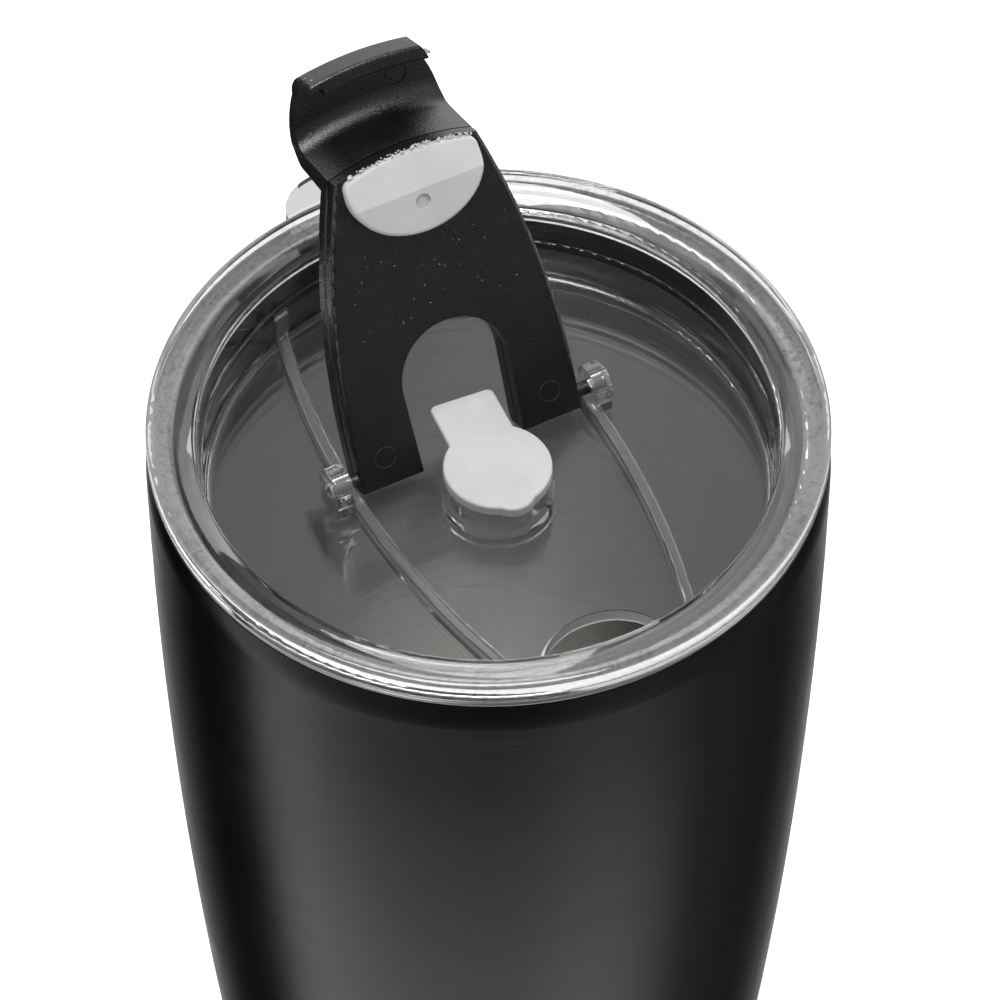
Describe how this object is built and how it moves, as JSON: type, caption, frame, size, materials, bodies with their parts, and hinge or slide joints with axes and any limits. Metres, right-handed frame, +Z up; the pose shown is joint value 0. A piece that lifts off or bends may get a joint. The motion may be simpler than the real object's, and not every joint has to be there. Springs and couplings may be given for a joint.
{
  "type": "insulated travel mug",
  "caption": "Insulated travel mug with a tapered black steel body and a clear press-in lid that has a flip lever over the drink hole and a soft straw plug.",
  "frame": {"origin": "centre of the base, on the surface that the mug stands on", "axes": "+Z up through the lid; -Y towards the drink hole; +Y towards the lift tab; X along the lever's hinge line"},
  "size_m": [0.0912, 0.096, 0.2079],
  "materials": {
    "black_coating": "satin powder coat, finely brushed",
    "bare_steel": "brushed",
    "clear_plastic": "clear, gloss",
    "black_plastic": "fine grain",
    "grey_silicone": "smooth, satin",
    "black_silicone": "satin",
    "black_rubber": "matt",
    "copper_foil": "bright rolled foil",
    "getter_metal": "sintered, matt",
    "seal_bead": "glassy bead"
  },
  "bodies": {
    "mug": {"outer_shell": "black_coating", "inner_liner": "bare_steel", "outer_base": "bare_steel", "vacuum_seal": "seal_bead", "getter": "getter_metal", "reflective_foil": "copper_foil", "foot_pad": "black_rubber"},
    "lid": {"lid_body": "clear_plastic", "lid_gasket": "black_silicone"},
    "plug": {"straw_plug": "grey_silicone"},
    "lever": {"lever_shell": "black_plastic", "lever_plate": "black_plastic", "lever_seal": "grey_silicone"}
  },
  "joints": [
    {"name": "lid_lift", "type": "slide", "parent": "mug", "child": "lid", "axis": [0, 0, 1], "range_m": [0, 0.04]},
    {"name": "plug_pull", "type": "slide", "parent": "lid", "child": "plug", "axis": [0, 0, 1], "range_m": [0, 0.015]},
    {"name": "lever_hinge", "type": "hinge", "parent": "lid", "child": "lever", "pos_m": [0, 0.006, 0.1621], "axis": [1, 0, 0], "range_deg": [-32, 114]}
  ]
}
